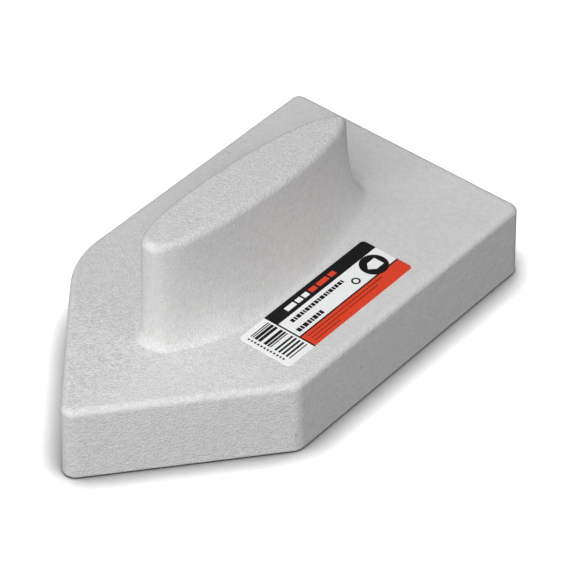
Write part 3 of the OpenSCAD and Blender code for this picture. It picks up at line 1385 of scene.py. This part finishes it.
    def build(self, finishes: Finishes) -> None:
        """Makes the film and everything printed on it.

        Args:
            finishes: The tool's finishes.
        """
        film, black, red = (finishes.of(slot) for slot in (Slot.FILM, Slot.BLACK, Slot.RED))
        tree = block_tree()
        length, width, top, rule = self.length, self.width, self.top, self.rule
        start, band, panel = self.code_share * length, self.band_share * width, self.panel_share * width
        on_print = top + self.ink
        square = (0, 0, 0, 0)
        sheet = self.panel((0, length), (0, width), (self.corner,) * 4)
        piece = self.sheet("label_sheet", [sheet], self.low.z, top, film)
        declare(piece, Slot.FILM, "label_film")
        areas = [
            self.panel((start, length), (0, band), (0, self.corner, 0, 0)),
            self.panel((start, start + rule), (band, width), square),
            self.panel((start + rule, length), (width - panel - rule, width - panel), square),
        ]
        piece = self.sheet("label_title_band", areas, top, on_print, black)
        declare(piece, Slot.BLACK, "label_black_print")
        area = self.panel((start + rule, length), (width - panel, width), (0, 0, self.corner, 0))
        piece = self.sheet("label_red_strip", [area], top, on_print, red)
        declare(piece, Slot.RED, "label_red_panel")
        piece = self.blocks("label_code_bars", self.code_layout(), top, tree, black)
        declare(piece, Slot.BLACK, "label_barcode")
        digits = [Block(2.0, 0.12 * width + 1.9 * i, 1.1, 1.0) for i in range(self.digits)]
        piece = self.blocks("label_captions", self.wording(self.captions, 0.55) + digits, top, tree, black)
        declare(piece, Slot.BLACK, "label_marks")
        centre = (0.725 * length, 0.53 * width)
        piece = self.ring("label_round_sign", centre, *self.sign_radii, top, None, black)
        declare(piece, Slot.BLACK)
        centre, lapped = (0.885 * length, 0.5 * width), top + 0.6 * self.ink
        piece = self.ring("label_disc", centre, self.disc_radius, 0.0, lapped, self.float_outline, black)
        declare(piece, Slot.BLACK, "label_emblem")
        piece = self.blocks("label_band_pale_dashes", self.dashes(self.pale_dashes), on_print, tree, film)
        declare(piece, Slot.FILM)
        piece = self.blocks("label_band_red_dashes", self.dashes(self.red_dashes), on_print, tree, red)
        declare(piece, Slot.RED)
        piece = self.blocks("label_small_print", self.wording(self.small_print, 0.5), on_print, tree, black)
        declare(piece, Slot.BLACK)


# ---- the studio ----


@dataclass(frozen=True)
class Softbox:
    """A square area light that faces the tool, with its lengths in metres and its power in watts."""

    name: str
    azimuth: float
    elevation: float
    distance: float
    size: float
    power: float

    def build(self, lit: bpy.types.Collection) -> None:
        """Hangs the light. Azimuth 0 is over +X and 90 over +Y.

        Args:
            lit: The pieces that the light falls on.
        """
        lamp = bpy.data.lights.new(self.name, "AREA")
        lamp.shape = "SQUARE"
        lamp.size = self.size
        lamp.energy = self.power
        made = stand(self.name, lamp)
        turn, rise = radians(self.azimuth), radians(self.elevation)
        way = Vector((cos(turn) * cos(rise), sin(turn) * cos(rise), sin(rise)))
        made.location = way * self.distance
        made.rotation_euler = way.to_track_quat("Z", "Y").to_euler()
        made.light_linking.receiver_collection = lit


@dataclass
class Studio:
    """Pale floor, soft light and the camera. Lengths are in metres, but shade_reach and the lens in mm."""

    eye: Flat = (0.85302, 0.74192)
    eye_height: float = 1.01905
    azimuth: float = 130.03
    elevation: float = 41.11
    lens: float = 200.21
    sensor: float = 36.0
    floor_size: float = 8.0
    floor_drop: float = 0.0002
    floor_tone: float = 0.08
    floor_shine: float = 4.4
    shade_reach: float = 20.0
    shade_power: float = 2.4
    sky: float = 0.35
    lights: tuple[Softbox, ...] = (
        Softbox("nose_key", 0.0, 35.0, 1.6, 0.7, 8.4),
        Softbox("front_key", 30.0, 35.0, 1.6, 0.7, 9.0),
        Softbox("high_fill", 30.0, 60.0, 1.6, 0.7, 1.3),
        Softbox("label_side_fill", 90.0, 35.0, 1.6, 0.7, 3.4),
        Softbox("far_side_fill", -60.0, 35.0, 1.6, 0.7, 2.7),
    )

    def floor(self) -> None:
        """Lays the floor, which shows brighter than it lights the tool, as an overexposed sweep does, with
        a painted contact shadow near the tool.
        """
        mesh = bpy.data.meshes.new("studio_floor")
        half, under = self.floor_size / 2, -self.floor_drop
        corners = [(x * half, y * half, under) for x, y in ((-1, -1), (1, -1), (1, 1), (-1, 1))]
        mesh.from_pydata(corners, [], [(0, 1, 2, 3)])
        made = bpy.data.materials.new("pale floor")
        made.use_nodes = True
        work = Tree(made.node_tree)
        tone, shine = self.floor_tone, self.floor_shine
        matt = work.add("ShaderNodeBsdfDiffuse", {"Color": (tone, tone, tone, 1.0)})
        # painted contact shadow: the floor's colour is darkened close to the tool by an ambient occlusion
        # node, and the sweep is overexposed elsewhere, so only the dark close to the tool is left
        near = work.add("ShaderNodeAmbientOcclusion", {"Distance": self.shade_reach * MM}, samples=16)
        shade = work.maths("MULTIPLY", work.maths("POWER", near.outputs["AO"], self.shade_power), shine)
        pale = work.add("ShaderNodeBsdfDiffuse", {"Color": shade})
        seen = work.add("ShaderNodeLightPath").outputs["Is Camera Ray"]
        mixed = work.add("ShaderNodeMixShader", {0: seen, 1: matt.outputs[0], 2: pale.outputs[0]})
        work.add("ShaderNodeOutputMaterial", {"Surface": mixed.outputs[0]})
        mesh.materials.append(made)
        stand("studio_floor", mesh)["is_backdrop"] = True

    def build(self) -> None:
        """Sets up the floor, the lights, the sky and the camera."""
        scene = bpy.context.scene
        lit = bpy.data.collections.new("lit by the softboxes")
        for piece in scene.objects:
            if piece.type == "MESH":
                lit.objects.link(piece)
        self.floor()
        for light in self.lights:
            light.build(lit)
        world = bpy.data.worlds.new("studio sky")
        world.use_nodes = True
        work = Tree(world.node_tree)
        sky = work.add("ShaderNodeBackground", {"Color": (1.0, 1.0, 1.0, 1.0), "Strength": self.sky})
        work.add("ShaderNodeOutputWorld", {"Surface": sky.outputs[0]})
        scene.world = world
        scene.view_settings.view_transform = "Standard"
        scene.view_settings.look = "None"
        camera = bpy.data.cameras.new("camera")
        camera.lens = self.lens
        camera.sensor_width = self.sensor
        camera.clip_end = 20.0
        made = stand("camera", camera)
        turn, rise = radians(self.azimuth), radians(self.elevation)
        back = Vector((sin(turn) * cos(rise), -cos(turn) * cos(rise), sin(rise)))
        made.location = (self.eye[0], self.eye[1], self.eye_height)
        made.rotation_euler = back.to_track_quat("Z", "Y").to_euler()
        scene.camera = made


def write_sizes() -> None:
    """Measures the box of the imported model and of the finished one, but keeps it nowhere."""
    measured = {"cad": CAD_BOX, "visual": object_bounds()}
    boxes = {name: [list(corner) for corner in box] for name, box in measured.items()}


def main() -> None:
    """Builds the tool and its studio."""
    logging.basicConfig(level=logging.INFO, format="%(name)s: %(message)s")
    finishes = Finishes()
    relief = bead_relief_tree()
    plate = Plate.from_frame()
    plate.build(finishes, relief)
    Handle(base=plate.thickness).build(finishes, relief)
    Label.from_frame().build(finishes)
    Studio().build()
    write_sizes()


if __name__ == "__main__":
    main()
